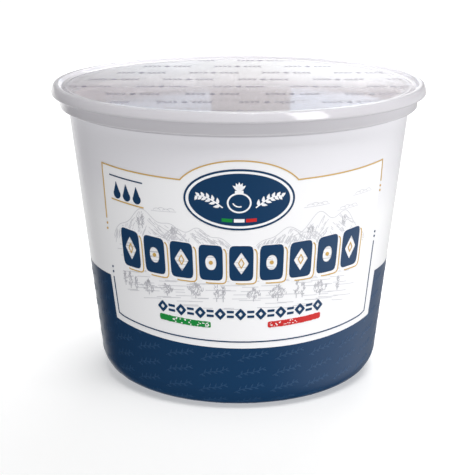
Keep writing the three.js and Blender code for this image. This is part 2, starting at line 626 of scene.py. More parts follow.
def ribbon(path, width):
    """A line of a width along a path of points, with mitred corners."""
    sides = ([], [])
    for i, (s, v) in enumerate(path):
        before, after = path[max(i - 1, 0)], path[min(i + 1, len(path) - 1)]
        first = math.atan2(v - before[1], s - before[0]) if i else None
        second = math.atan2(after[1] - v, after[0] - s) if i < len(path) - 1 else first
        first = second if first is None else first
        half_bend = math.remainder(second - first, 2 * math.pi) / 2
        across = first + half_bend + math.pi / 2
        half = width / 2 / max(math.cos(half_bend), SHARPEST_MITRE)
        for side, sign in zip(sides, (-1, 1)):
            side.append((s + sign * half * math.cos(across), v + sign * half * math.sin(across)))
    return quads(sides)


LEAF_OUTLINE = ((0, 0), (0.3, 0.5), (0.62, 0.42), (1, 0), (0.62, -0.42), (0.3, -0.5))


def leaf(root, length, width, angle):
    """A pointed leaf that starts at a point and grows at an angle in degrees."""
    turn = math.radians(angle)
    return [
        (
            root[0] + length * u * math.cos(turn) - width * w * math.sin(turn),
            root[1] + length * u * math.sin(turn) + width * w * math.cos(turn),
        )
        for u, w in LEAF_OUTLINE
    ]


def stem_point(part):
    """A point along the sprig's stem, a shallow S that rises to the right."""
    return (SPRIG_LENGTH * part, SPRIG_RISE * part + STEM_SWAY * math.sin(2 * math.pi * part))


sprig = ribbon([stem_point(part) for part in spread(0, 1, 1 / STEM_PIECES)], STEM_WIDTH)
for i in range(LEAVES):
    side = 1 if i % 2 else -1
    root = stem_point(FIRST_LEAF + (1 - FIRST_LEAF) * i / LEAVES)
    sprig.append(leaf(root, LEAF_LENGTH, LEAF_WIDTH, LEAF_ANGLE + side * LEAF_LEAN))

rows_below = math.ceil((SPRIG_START[1] - BAND_BOTTOM) / SPRIG_ROW_PITCH)
rows_above = math.ceil((BAND_TOP - SPRIG_START[1]) / SPRIG_ROW_PITCH)
columns_left = math.floor(3 * HALF_LABEL / SPRIG_PITCH)
columns_right = math.floor(HALF_LABEL / SPRIG_PITCH)
sprigs = repeated(
    "sprigs",
    sprig,
    navy_ink,
    (
        SPRIG_START[0] - rows_below * SPRIG_SHIFT - columns_left * SPRIG_PITCH,
        SPRIG_START[1] - rows_below * SPRIG_ROW_PITCH,
    ),
    columns_left + 1 + columns_right,
    rows_below + rows_above + 1,
    SPRIG_PITCH,
    SPRIG_ROW_PITCH,
    SPRIG_SHIFT,
)


def on_navy(face):
    """Whether a face lies on the navy with a small margin."""
    for s, v in face:
        if not BAND_BOTTOM + MARGIN_BELOW < v < BAND_TOP - MARGIN_ABOVE:
            return False
        if not MARGIN_END - 3 * HALF_LABEL < s < HALF_LABEL - MARGIN_END:
            return False
        across = s - (PANEL_MIDDLES[0] if s > -HALF_LABEL else PANEL_MIDDLES[1])
        under_panel = PANEL_LEFT - MARGIN_BESIDE_PANEL < across < PANEL_RIGHT + MARGIN_BESIDE_PANEL
        if under_panel and v > panel_bottom(across) - MARGIN_ABOVE:
            return False
    return True


# A tint of the navy, just light enough to be told from it.
tint_ink = label_plastic("pale_navy_ink", "#274b71", 0.3)

printed("label_sprigs", [face for face in sprigs if on_navy(face)], layer=2, ink=tint_ink)


# ------------------------------
# Frame: thin printed lines inside each panel, over a second coat of white ink. The gold line
# steps up over the badge, the navy one follows the panel's lower edge, and small dots carry each
# line's ends on.
# ------------------------------
LINE = 0.3
LINE_STEP = 1.0  # the longest straight piece of a line, so that it bends round the wall
DOT = 0.3
DOT_SIDES = 10
FRAME_TOP = (58.85, 0.00107)  # height at the panel's middle, and how strongly it bows up
TOP_ENDS = (-35.5, 38.5)
FOOT_ENDS = (-36.1, 39.1)  # of the second white, whose top ends with the gold line
FOOT_RISE = 1.75  # from the panel's lower edge to the navy line and to the second white
FRAME_STEP = 2.0
BADGE_MIDDLE = (0.1, 54.6)
ARCH = (15.0, 9.4)  # half width and half height of the gold line's arch over the badge
ARCH_FOOT = 13.25  # half the arch's width where the rest of the line meets it
ARCH_SIDES = 40
FIELD_COLUMNS = 72


def bowed(s, height, bow):
    """Height of a line that is lowest at the panel's middle."""
    return height + bow * s * s


def round_points(middle, half_width, half_height, sides, start=0.0, end=360.0, power=2.0):
    """Points round an ellipse, or a squarer or sharper shape, from one angle to another."""
    found = []
    for angle in [math.radians(start + (end - start) * i / sides) for i in range(sides + 1)]:
        c, s = math.cos(angle), math.sin(angle)
        reach = (abs(c) ** power + abs(s) ** power) ** (-1 / power)
        found.append((middle[0] + half_width * c * reach, middle[1] + half_height * s * reach))
    return found


def fine(path):
    """The path with points added along its longer steps."""
    found = []
    for a, b in zip(path, path[1:]):
        found += straight(a, b, math.ceil(math.dist(a, b) / LINE_STEP))
    return [*found, path[-1]]


def dot(middle, radius=DOT):
    """A small round dot."""
    return round_points(middle, radius, radius, DOT_SIDES)[:-1]


arch_angle = math.degrees(math.acos(ARCH_FOOT / ARCH[0]))
gold_path = [(-36.3, 46.2), (TOP_ENDS[0], 60.2)]
gold_path += [(s, bowed(s, *FRAME_TOP)) for s in spread(TOP_ENDS[0], -ARCH_FOOT, FRAME_STEP)[1:-1]]
gold_path += round_points(BADGE_MIDDLE, *ARCH, ARCH_SIDES, 180 - arch_angle, arch_angle)
gold_path += [(s, bowed(s, *FRAME_TOP)) for s in spread(ARCH_FOOT, TOP_ENDS[1], FRAME_STEP)[1:]]
gold_path += [(39.0, 55.0)]
gold_faces = ribbon(fine(gold_path), LINE)
gold_faces += [dot(p) for p in ((-36.3, 44.9), (-36.5, 43.5), (39.0, 53.8), (39.1, 52.6))]

navy_path = [(-36.4, BAND_TOP), (-36.0, 21.5)]
navy_path += [(s, panel_bottom(s) + FOOT_RISE) for s in spread(-35.9, 39.0, FRAME_STEP)[1:-1]]
navy_path += [(39.1, 21.2), (39.3, 39.6)]
navy_faces = ribbon(fine(navy_path), LINE)
navy_faces += [dot(p) for p in ((-36.3, 33.6), (-36.3, 32.3), (39.3, 42.0), (39.3, 40.8))]

field_rows = ([], [])
for part in spread(0, 1, 1 / FIELD_COLUMNS):
    s = FOOT_ENDS[0] + (FOOT_ENDS[1] - FOOT_ENDS[0]) * part
    field_rows[0].append((s, panel_bottom(s) + FOOT_RISE))
    s = TOP_ENDS[0] + (TOP_ENDS[1] - TOP_ENDS[0]) * part
    aside = s - BADGE_MIDDLE[0]
    arched = BADGE_MIDDLE[1] + ARCH[1] * math.sqrt(max(0.0, 1 - (aside / ARCH[0]) ** 2))
    field_rows[1].append((s, arched if abs(aside) < ARCH_FOOT else bowed(s, *FRAME_TOP)))

# A second coat of white ink under the artwork, in the film's unshaded white: over the panels it
# keeps out the painted shade that the film carries towards the rim.
panel_white = label_plastic("panel_white_ink", UNSHADED_WHITE, 0.27)
printed("label_white_field", on_both_panels(quads(field_rows)), layer=0.5, ink=panel_white)

# Matt gold ink: an ochre ink with no metal in it.
gold_ink = label_plastic("ochre_gold_ink", "#cda75c", 0.34)
printed("label_frame_gold", on_both_panels(gold_faces), layer=3, ink=gold_ink)
printed("label_frame_navy", on_both_panels(navy_faces), layer=3, ink=navy_ink)


# ------------------------------
# Badge: a navy oval with a white ring. In it are a tied pouch between two leafy sprigs, in white,
# and three short bars of green, white and red.
# ------------------------------
BADGE = (12.6, 7.45)  # half width and half height, here and for the rings
BADGE_RING = ((12.1, 6.95), (11.45, 6.4))
BADGE_SIDES = 72
POUCH_DROP = 0.7
POUCH_RING = ((2.75, 2.5), (2.35, 2.1))
POUCH_SIDES = 32
FOLD = (1.5, 1.35)
FOLD_RISE = 0.4
TIE_HALF_WIDTH = 0.95
TIE_EDGES = ((2.35, 2.5), (2.95, 3.1))  # height of each edge at its ends and in its middle
TUFT = ((140, 1.9), (112, 2.0), (90, 2.1), (68, 2.0), (40, 1.9))  # angle and length of each leaf
TUFT_RISE = 3.0
TUFT_WIDTH = 0.75
TWIG_START = (3.7, -1.9)
TWIG_REACH = (6.2, 2.7)
TWIG_CURVE = 1.9
TWIG_PIECES = 12
TWIG_LEAF = (1.75, 0.72)
TWIG_LEAF_LOSS = 0.05  # how much shorter each leaf is than the one before
TWIG_LEAN = 48
BADGE_BARS = (-2.75, 0.0, 2.75)
BADGE_BAR = (1.2, 0.42)
BADGE_BAR_LINE = (49.55, 0.012)
BADGE_BAR_STEP = 0.6


def filled(middle, half_width, half_height, sides):
    """A filled ellipse, in rings that are narrow enough to bend round the wall."""
    sizes = (1, 0.8, 0.6, 0.4, 0.2)
    rings = [round_points(middle, half_width * k, half_height * k, sides) for k in sizes]
    return quads(rings) + [rings[-1][:-1]]


def ring(middle, outer, inner, sides, power=2.0):
    """A ring between two shapes given by their half widths and half heights."""
    return quads([round_points(middle, *half, sides, power=power) for half in (outer, inner)])


def bar(start, end, line, half_height, longest, lift=0.0):
    """A bar that follows a bowed line."""
    lengths = spread(start, end, longest)
    edges = (-half_height, half_height)
    return quads([[(s, bowed(s, *line) + lift + edge) for s in lengths] for edge in edges])


badge_navy = filled(BADGE_MIDDLE, *BADGE, BADGE_SIDES)
badge_white = ring(BADGE_MIDDLE, *BADGE_RING, BADGE_SIDES)
pouch = (BADGE_MIDDLE[0], BADGE_MIDDLE[1] - POUCH_DROP)
badge_white += ring(pouch, *POUCH_RING, POUCH_SIDES)
badge_white += ribbon(round_points((pouch[0], pouch[1] + FOLD_RISE), *FOLD, 10, 200, 290), LINE)
badge_white += quads(
    [
        [
            (pouch[0] + side * TIE_HALF_WIDTH, pouch[1] + (end if side else middle))
            for side in (-1, 0, 1)
        ]
        for end, middle in TIE_EDGES
    ]
)
for angle, length in TUFT:
    badge_white.append(leaf((pouch[0], pouch[1] + TUFT_RISE), length, TUFT_WIDTH, angle))
for side in (-1, 1):
    twig = [
        (
            BADGE_MIDDLE[0] + side * (TWIG_START[0] + TWIG_REACH[0] * part),
            BADGE_MIDDLE[1] + TWIG_START[1] + TWIG_REACH[1] * math.sin(TWIG_CURVE * part),
        )
        for part in spread(0, 1, 1 / TWIG_PIECES)
    ]
    badge_white += ribbon(twig, LINE)
    for i in range(1, TWIG_PIECES):
        slope = math.degrees(math.atan2(twig[i + 1][1] - twig[i][1], twig[i + 1][0] - twig[i][0]))
        lean = TWIG_LEAN if i % 2 else -TWIG_LEAN
        length = TWIG_LEAF[0] - TWIG_LEAF_LOSS * i
        badge_white.append(leaf(twig[i], length, TWIG_LEAF[1], slope + lean))

badge_bars = []
for offset in BADGE_BARS:
    middle = BADGE_MIDDLE[0] + offset
    ends = (middle - BADGE_BAR[0], middle + BADGE_BAR[0])
    badge_bars.append(bar(*ends, BADGE_BAR_LINE, BADGE_BAR[1], BADGE_BAR_STEP))
badge_white += badge_bars[1]

# Process green and red inks, both bright and even.
green_ink = label_plastic("green_label_ink", "#108e3c", 0.32)
red_ink = label_plastic("red_label_ink", "#d02323", 0.32)

printed("label_badge_navy", on_both_panels(badge_navy), layer=3, ink=navy_ink)
printed("label_badge_white", on_both_panels(badge_white), layer=4, ink=panel_white)
printed("label_badge_green", on_both_panels(badge_bars[0]), layer=4, ink=green_ink)
printed("label_badge_red", on_both_panels(badge_bars[2]), layer=4, ink=red_ink)


# ------------------------------
# Frieze: nine navy tiles across each panel, on an arched line. Each has a cut-out with a small
# gold lozenge in it, and a white edge and a thin gold line set off to the lower right.
# ------------------------------
FRIEZE_LOW = (34.5, 0.9 / 32**2)
FRIEZE_HIGH = (43.3, 1.8 / 31**2)
TILES = 9
TILE_PITCH = 7.2
TILE_SHIFT = 0.6
TILE_HALF_WIDTH = 2.85
TILE_SIDES = 48
TILE_POWER = 7  # a power of 2 gives an ellipse, one near 1 a lozenge, and a high one nearly a box
CUT_OUTS = ((1.75, 0.62, 1.05), (1.3, 0.42, 2.2))  # half width, half height and power, in turn
WHITE_REACH = 0.7  # how much wider the white edge is to each side, and how high it is
WHITE_HEIGHT = 1.12
SET_OFF = (0.85, -0.75)
GEM = ((0.75, 1.35), (0.5, 0.95))  # half width and half height, outside and inside
GEM_SIDES = 24
GEM_POWER = 1.05
GOLD_DOT = 0.5


def frieze_point(s, height):
    """A point of the frieze: height runs from -1 at its lower edge to 1 at its upper edge."""
    low, high = bowed(s, *FRIEZE_LOW), bowed(s, *FRIEZE_HIGH)
    return (s, low + (high - low) * (height + 1) / 2)


def tile_points(middle, half_width, half_height, power, start=0.0, end=360.0, sides=TILE_SIDES):
    """Points round a shape in a tile, with heights from -1 to 1, set on the arched line."""
    found = round_points((middle, 0), half_width, half_height, sides, start, end, power)
    return [frieze_point(s, h) for s, h in found]


frieze_navy, frieze_white, frieze_gold = [], [], []
for i in range(TILES):
    middle = TILE_PITCH * (i - (TILES - 1) / 2) + TILE_SHIFT
    outer = tile_points(middle, TILE_HALF_WIDTH, 1.0, TILE_POWER)
    inner = tile_points(middle, *CUT_OUTS[i % 2])
    frieze_navy += quads([outer, inner])
    back = tile_points(middle, TILE_HALF_WIDTH + WHITE_REACH, WHITE_HEIGHT, TILE_POWER)
    frieze_white += quads([moved([back], SET_OFF[0] / 2, SET_OFF[1] / 2)[0], inner])
    line = tile_points(middle, TILE_HALF_WIDTH, 1.0, TILE_POWER, 52, -128, 34)
    frieze_gold += ribbon(moved([line], *SET_OFF)[0], LINE)
    if i % 2:
        frieze_gold.append(dot(frieze_point(middle, 0), GOLD_DOT))
    else:
        frieze_gold += ring(frieze_point(middle, 0), *GEM, GEM_SIDES, GEM_POWER)

printed("label_frieze_white", on_both_panels(frieze_white), layer=3, ink=panel_white)
printed("label_frieze_gold", on_both_panels(frieze_gold), layer=4, ink=gold_ink)
printed("label_frieze_navy", on_both_panels(frieze_navy), layer=4, ink=navy_ink)


# ------------------------------
# Small ornaments: three navy drops between two short lines at the upper left, and a row of navy
# lozenges and paired dashes under the frieze.
# ------------------------------
DROPS = (-31.0, -27.9, -24.8)
DROP_HEIGHT = 53.2
DROP_SLOPE = -0.07
DROP_RADIUS = 1.15
DROP_TIP = 3.1
ORNAMENT_LINE = (25.85, 0.0019)
LOZENGE = ((1.4, 1.5), (0.55, 0.6))
LOZENGE_SIDES = 24
LOZENGE_POWER = 1.1
LOZENGES = 9
LOZENGE_PITCH = 5.05
LOZENGE_SHIFT = 0.45
DASH_GAP = 1.65  # from a lozenge's middle to the next dash
DASH_LIFT = 0.62
DASH_HALF_HEIGHT = 0.3
DASH_STEP = 0.9


def drop(s, v):
    """A drop that stands on its round end."""
    return [*round_points((s, v), DROP_RADIUS, DROP_RADIUS, 14, -220, 40), (s, v + DROP_TIP)]


ornament = ribbon(fine([(-33.0, 57.75), (-22.8, 57.05)]), LINE)
ornament += [drop(s, DROP_HEIGHT + DROP_SLOPE * (s - DROPS[0])) for s in DROPS]
drop_line = ribbon(fine([(-33.2, 51.75), (-23.0, 50.95)]), LINE)
for i in range(LOZENGES):
    middle = LOZENGE_PITCH * (i - (LOZENGES - 1) / 2) + LOZENGE_SHIFT
    ornament += ring(
        (middle, bowed(middle, *ORNAMENT_LINE)), *LOZENGE, LOZENGE_SIDES, LOZENGE_POWER
    )
    if i < LOZENGES - 1:
        ends = (middle + DASH_GAP, middle + LOZENGE_PITCH - DASH_GAP)
        for lift in (-DASH_LIFT, DASH_LIFT):
            ornament += bar(*ends, ORNAMENT_LINE, DASH_HALF_HEIGHT, DASH_STEP, lift)

printed("label_ornament", on_both_panels(ornament), layer=3, ink=navy_ink)
printed("label_drop_line", on_both_panels(drop_line), layer=3, ink=gold_ink)


# ------------------------------
# Bars: one of green ink and one of red, under the ornament, printed from a worn block. Their
# edges waver a little, and small flecks of the white film show through.
# ------------------------------
BAR_LINE = (22.85, 0.0023)
BAR_HALF_HEIGHT = 0.78
BAR_STEP = 0.35
BAR_ROUNDING = 0.25
FLECK_SIZES = (0.07, 0.2)
FLECK_SPREAD = 0.6  # how far above and below the bar's middle
FLECK_STRETCH = 1.6
FLECK_CROWDING = 1.6
wear = random.Random(11)


def worn_bar(start, end):
    """A bar with rounded ends and edges that waver."""
    rows = ([], [])
    for s in spread(start, end, BAR_STEP):
        inset = min(s - start, end - s)
        half = BAR_HALF_HEIGHT - BAR_ROUNDING * max(0.0, 1 - inset / BAR_STEP) ** 2
        for side, sign in zip(rows, (-1, 1)):
            side.append((s, bowed(s, *BAR_LINE) + sign * (half + wear.uniform(-0.06, 0.05))))
    return quads(rows)


def flecks(start, end, number):
    """Small uneven spots where the ink is missing, closer together towards the start."""
    found = []
    for _ in range(number):
        s = start + (end - start) * wear.random() ** FLECK_CROWDING
        v = bowed(s, *BAR_LINE) + wear.uniform(-FLECK_SPREAD, FLECK_SPREAD)
        size = wear.uniform(*FLECK_SIZES)
        fleck = []
        for angle in [math.radians(60 * k + wear.uniform(-20, 20)) for k in range(6)]:
            reach = FLECK_STRETCH * size * wear.uniform(0.5, 1)
            fleck.append((s + reach * math.cos(angle), v + size * math.sin(angle)))
        found.append(fleck)
    return found


green_bar = worn_bar(-20.8, -7.05)
red_bar = worn_bar(7.3, 21.6)
bar_flecks = flecks(-7.6, -17.5, 34) + flecks(7.9, 15.0, 22)

printed("label_bar_green", on_both_panels(green_bar), layer=3, ink=green_ink)
printed("label_bar_red", on_both_panels(red_bar), layer=3, ink=red_ink)
printed("label_bar_flecks", on_both_panels(bar_flecks), layer=4, ink=panel_white)


# ------------------------------
# Landscape: a faint grey line drawing behind the ornaments. It has rolling hills with hatched
# slopes, furrowed fields, rows of trees and a few clouds.
# ------------------------------
THIN = 0.16
HATCH = 0.15
HATCHES = 120  # on each hill
HATCH_FALL = 0.8  # how far down the slope they go, as a share of its height
RIGHT_SLOPE, LEFT_SLOPE = -50, -130  # their angles on each side of the hill
HATCH_BEND = 18
STROKE_PIECES = 4
FURROW_ROWS = 13
FURROWS = 13  # in each row
FURROW_TOP = 41.2
FURROW_PITCH = 1.15
FURROW_SLOPE = -0.35  # degrees for each millimetre from the middle, steeper in the lower rows
TRUNK = 0.22
TRUNK_SHARE = 0.25  # of the tree's height
CLOUD_PUFFS = 4
PUFF = (0.9, 0.55)
PUFF_PITCH = 1.2
PUFF_RISE = 0.25  # of every other puff
PUFF_LINE = 0.13
pencil = random.Random(23)


def stroke(start, angle, length, bend, width=THIN):
    """A short curved pencil stroke."""
    path, turn = [start], math.radians(angle)
    step = length / STROKE_PIECES
    for _ in range(STROKE_PIECES):
        turn += math.radians(bend) / STROKE_PIECES
        s, v = path[-1]
        path.append((s + step * math.cos(turn), v + step * math.sin(turn)))
    return ribbon(path, width)


def ridge(s, start, end, foot, height, waves):
    """Height of a hill's outline, which falls to its foot at both ends."""
    part = (s - start) / (end - start)
    swell = math.sin(math.pi * min(max(part, 0), 1)) ** 0.8
    return foot + height * swell * (1 + 0.16 * math.sin(waves * part * math.pi + 1.0))


light_lines, dark_lines = [], []
for start, end, foot, height, waves in (
    (-34.0, -11.0, 42.0, 7.6, 5),
    (-22.0, -1.0, 42.5, 4.4, 7),
    (3.5, 22.0, 42.5, 4.4, 5),
    (10.0, 34.5, 41.5, 8.4, 6),
):
    outline = [(s, ridge(s, start, end, foot, height, waves)) for s in spread(start, end, 0.5)]
    light_lines += ribbon(outline, THIN)
    for _ in range(HATCHES):
        s = pencil.uniform(start + 1, end - 1)
        top = ridge(s, start, end, foot, height, waves)
        v = top - pencil.uniform(0.2, max(0.4, (top - foot) * HATCH_FALL))
        angle = (RIGHT_SLOPE if s > (start + end) / 2 else LEFT_SLOPE) + pencil.uniform(-14, 14)
        light_lines += stroke((s, v), angle, pencil.uniform(0.8, 2.6), HATCH_BEND, HATCH)

for row in range(FURROW_ROWS):
    v = FURROW_TOP - row * FURROW_PITCH
    for _ in range(FURROWS):
        s = pencil.uniform(-34, 27)
        slope = FURROW_SLOPE * s * (0.5 + row / FURROW_ROWS)
        place = (s, v + pencil.uniform(-0.3, 0.3))
        light_lines += stroke(place, slope, pencil.uniform(2.5, 6.5), -slope / 2)


def tree_shape(s, v, half_width, height, power):
    """A tree's crown as a mass of short strokes over a trunk."""
    found = ribbon([(s, v), (s, v + height * TRUNK_SHARE)], TRUNK)
    for _ in range(int(10 + 7 * half_width * height)):
        part = pencil.random()
        room = half_width * math.sin(math.pi * min(0.98, part + 0.08)) ** power
        found += stroke(
            (s + pencil.uniform(-room, room), v + height * (0.15 + 0.8 * part)),
            pencil.uniform(40, 140),
            pencil.uniform(0.4, 0.9),
            pencil.uniform(-60, 60),
            HATCH,
        )
    return found


for s, v, half_width, height in (
    (-31.5, 29.8, 0.55, 3.6),
    (-29.6, 29.4, 0.6, 4.2),
    (-27.6, 29.2, 0.55, 3.4),
    (-23.6, 28.9, 1.9, 3.6),
    (-18.2, 29.4, 1.6, 3.0),
    (-10.6, 29.6, 2.1, 3.8),
    (-5.4, 29.0, 0.55, 4.4),
    (-3.8, 29.0, 0.55, 3.8),
    (3.6, 29.2, 1.8, 3.2),
    (9.6, 29.0, 2.2, 3.9),
    (14.4, 29.3, 0.6, 4.3),
    (16.0, 29.3, 0.55, 3.6),
    (21.0, 29.2, 2.0, 3.6),
    (26.4, 29.6, 0.5, 3.2),
    (-25.0, 45.6, 0.5, 2.6),
    (-23.8, 45.8, 0.5, 3.0),
    (-15.5, 45.2, 0.9, 1.6),
    (17.2, 45.4, 0.9, 1.5),
    (26.5, 46.2, 0.5, 2.2),
):
    dark_lines += tree_shape(s, v, half_width, height, 0.6 if half_width > 1 else 0.45)
for s, v in ((-17.6, 50.9), (18.5, 52.2), (27.5, 50.4), (32.0, 53.4)):
    for k in range(CLOUD_PUFFS):
        puff = (s + PUFF_PITCH * (k - (CLOUD_PUFFS - 1) / 2), v + PUFF_RISE * (k % 2))
        light_lines += ribbon(round_points(puff, *PUFF, 8, 175, 5), PUFF_LINE)
    light_lines += stroke((s - 3.4, v - 0.2), 0, 6.6, 4, 0.12)

# Pale grey inks, for the drawing's lines and for its darker masses.
grey_ink = label_plastic("pale_grey_ink", "#d1d1d6", 0.3)
shade_ink = label_plastic("mid_grey_ink", "#c3c3c9", 0.3)

printed("label_drawing_lines", on_both_panels(light_lines), layer=1, ink=grey_ink)
printed("label_drawing_trees", on_both_panels(dark_lines), layer=2, ink=shade_ink)


# ------------------------------
# Contents: whey and brine, cloudy white, still and mirror smooth. It stands nearly 4 mm below the
# film, and climbs the wall a little all round.
# ------------------------------
LIQUID_LEVEL = 71.4
LIQUID_SIDES = 160
MENISCUS_RISE = 0.7
MENISCUS_REACH = 1.3
MENISCUS_STEPS = 16
INTO_WALL = 0.1  # how far the liquid's solid reaches into the wall, so that no gap shows

# Cloudy whey: a water-thin gloss over a milky body.
whey = plastic("cloudy_whey", "#d4cdcd", 0.04, 9.0, 0.002, {"IOR": 1.34})

liquid_edge = wall_radius(LIQUID_LEVEL, WALL)
climb = [
    (liquid_edge - r, LIQUID_LEVEL + MENISCUS_RISE * math.exp(-r / (MENISCUS_REACH / 3)))
    for r in [2 * MENISCUS_REACH * part**2 for part in spread(0, 1, 1 / MENISCUS_STEPS)]
]
liquid_top = LIQUID_LEVEL + MENISCUS_RISE
liquid_section = [
    *cup_section(WALL - INTO_WALL, liquid_top),
    *climb,
    *straight((liquid_edge - 2 * MENISCUS_REACH - 1, LIQUID_LEVEL), (0, LIQUID_LEVEL), 14),
    (0, LIQUID_LEVEL),
]
liquid = turned("whey_and_brine", liquid_section, LIQUID_SIDES, whey)
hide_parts("contents")
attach(liquid, "root")


# ------------------------------
# Lid film: a clear polyester and polyethylene laminate, heat sealed to the land inside the bead.
# The sealing tool leaves a shallow ring pressed into it all round.
# ------------------------------
FILM_THICKNESS = 0.08
FILM_LIFT = 0.01  # above the land, the weld between them
FILM_MARGIN = 0.25  # how far the film runs into the foot of the bead
SEAL_MARGIN = 0.5  # from the land's inner edge to the pressed ring
SEAL_WIDTH = 1.3
SEAL_SWELL = 0.008
HAZE = 0.06  # the hazy share of the film
SHEEN_START, SHEEN_END = 0.84, 0.864  # how far from face-on the sheen begins and is full
SHEEN_LOW, SHEEN_FULL = 0.1, 0.7
SEAL_STEPS = 12
film_under = land_height + FILM_LIFT
film_radius = land_outer_radius + FILM_MARGIN
seal_inner = land_inner_radius + SEAL_MARGIN
seal_outer = seal_inner + SEAL_WIDTH

# Clear laminate with a slight haze: see-through from above, and with a soft sheen at a low angle.
film_clear = bpy.data.materials.new("clear_laminate_film")
film_clear.use_nodes = True
tree = film_clear.node_tree
tree.nodes.clear()
clear = add(tree, "ShaderNodeBsdfTransparent", {"Color": linear("#f5f4f5")})
haze = add(tree, "ShaderNodeBsdfDiffuse", {"Color": linear("#e6e6ea")})
gloss = add(tree, "ShaderNodeBsdfGlossy", {"Color": linear("#ffffff"), "Roughness": 0.35})
body = add(tree, "ShaderNodeMixShader", {0: HAZE, 1: clear, 2: haze})
facing = add(tree, "ShaderNodeLayerWeight", {"Blend": 0.5}).outputs["Facing"]
wires = {0: facing, 1: SHEEN_START, 2: SHEEN_END, 3: SHEEN_LOW, 4: SHEEN_FULL}
sheen = add(tree, "ShaderNodeMapRange", wires)
skin = add(tree, "ShaderNodeMixShader", {0: sheen, 1: body, 2: gloss})
add(tree, "ShaderNodeOutputMaterial", {"Surface": skin})


def film_face(lift):
    """The film's face from the axis outward, lift above its underside."""
    z = film_under + lift
    pressed = [
        (seal_inner + SEAL_WIDTH * part, z + SEAL_SWELL * (1 - math.cos(2 * math.pi * part)))
        for part in spread(0, 1, 1 / SEAL_STEPS)[1:-1]
    ]
    clear_part = straight((3, z), (seal_inner, z), 14)
    return [(0, z), *clear_part, *pressed, (seal_outer, z), (film_radius, z)]


film_section = [*film_face(0), *reversed(film_face(FILM_THICKNESS))]
film = turned("lid_film_sheet", film_section, TUB_SIDES, film_clear)
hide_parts("lid_film")
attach(film, "root")


# ------------------------------
# Film print: a thin dark ink on the film's face, a small row ornament repeated in staggered rows
# over the whole clear part, and cut off at the sealed ring.
# ------------------------------
FILM_PITCH = 19.35
FILM_ROW_PITCH = 11.7
FILM_SHIFT = 6.35
FILM_ROWS = 8
FILM_COLUMNS = 4
FILM_START = (-5.8, -42.7)
FILM_SPARE_COLUMNS = 5  # to the left of the start, which the shift of the rows uses up
FILM_INK_THICKNESS = 0.02
MOTIF_MIDDLE = (6.1, 1.6)
MOTIF_GEM = (0.9, 1.5)
MOTIF_PAIRS = 4  # of leaves on each side of the middle
FIRST_PAIR = 1.7
PAIR_PITCH = 1.25
PAIR_LEAF = (1.9, 0.5)
PAIR_LEAN = 52
PRINT_MARGIN = 0.2  # from the print's edge to the sealed ring

motif = [round_points(MOTIF_MIDDLE, *MOTIF_GEM, 4)[:-1]]
for i in range(MOTIF_PAIRS):
    for side in (-1, 1):
        root = (MOTIF_MIDDLE[0] + side * (FIRST_PAIR + PAIR_PITCH * i), MOTIF_MIDDLE[1])
        for lean in (PAIR_LEAN, -PAIR_LEAN):
            motif.append(leaf(root, *PAIR_LEAF, lean if side > 0 else 180 - lean))

# Dark violet ink, in so thin a coat that it looks a soft grey violet.
film_ink = plastic("violet_film_ink", "#6f6779", 0.3, 1.4, 0.004, {"IOR": 1.45})
film_motifs = repeated(
    "film_motifs",
    motif,
    film_ink,
    (FILM_START[0] - FILM_SPARE_COLUMNS * FILM_PITCH, FILM_START[1]),
    FILM_SPARE_COLUMNS + FILM_COLUMNS,
    FILM_ROWS,
    FILM_PITCH,
    FILM_ROW_PITCH,
    FILM_SHIFT,
)
print_radius = seal_inner - PRINT_MARGIN
film_faces = [face for face in film_motifs if all(math.hypot(*p) < print_radius for p in face)]
film_print = drawing("lid_film_print", film_faces)
run_tree(
    film_print,
    thickening,
    {
        "Lift": (film_under + FILM_THICKNESS - FILM_INK_THICKNESS / 4) * MM,
        "Thickness": FILM_INK_THICKNESS * MM,
        "Material": film_ink,
    },
)
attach(film_print, "root")


# ------------------------------
# Studio: a plain pale floor and a surround of pale screens, brighter to the right. Two lamps light
# the tub from high up, two small ones reach the rim, two cards and two windows show in its gloss,
# and a long lens stands a little above the tub.
# ------------------------------
PICTURE_PIXELS = 475
FOCAL_PIXELS = 1349.0
CAMERA_DISTANCE = 342.2
CAMERA_HEIGHT = 128.5
CAMERA_PITCH = 15.4
CAMERA_SIDE = -0.3

lens = bpy.data.cameras.new("camera")
lens.lens = FOCAL_PIXELS / PICTURE_PIXELS * lens.sensor_width
lens.clip_start = 0.01
camera = bpy.data.objects.new("camera", lens)
camera.location = (CAMERA_SIDE * MM, -CAMERA_DISTANCE * MM, CAMERA_HEIGHT * MM)
camera.rotation_euler = (math.radians(90 - CAMERA_PITCH), 0, 0)
bpy.context.collection.objects.link(camera)
bpy.context.scene.camera = camera

bpy.context.scene.view_settings.view_transform = "Standard"

FLOOR_HALF = 3.0
GLOW_START, GLOW_END = -0.015, 0.04  # how far back the floor's glow begins to grow and is full
GLOW_LOW, GLOW_FULL = 0.4, 0.72
floor_corners = [
    (x * FLOOR_HALF, y * FLOOR_HALF, 0) for x, y in ((-1, -1), (1, -1), (1, 1), (-1, 1))
]
floor = set_down("floor", floor_corners, [], [(0, 1, 2, 3)])

# Matt white paper that glows, a painted light: a little everywhere so that it stays even, and more
# behind the tub, where the glow washes out the tub's shadow.
pale_paper = bpy.data.materials.new("pale_floor")
pale_paper.use_nodes = True
tree = pale_paper.node_tree
shader = tree.nodes["Principled BSDF"]
shader.inputs["Base Color"].default_value = linear("#d0d0d0")
shader.inputs["Roughness"].default_value = 0.9
shader.inputs["Specular IOR Level"].default_value = 0.1
shader.inputs["Emission Color"].default_value = linear("#ffffff")
place = add(tree, "ShaderNodeTexCoord", {}).outputs["Object"]
depth = add(tree, "ShaderNodeSeparateXYZ", {0: place}).outputs["Y"]
wires = {0: depth, 1: GLOW_START, 2: GLOW_END, 3: GLOW_LOW, 4: GLOW_FULL}
glow = add(tree, "ShaderNodeMapRange", wires)
tree.links.new(glow.outputs[0], shader.inputs["Emission Strength"])
floor.data.materials.append(pale_paper)
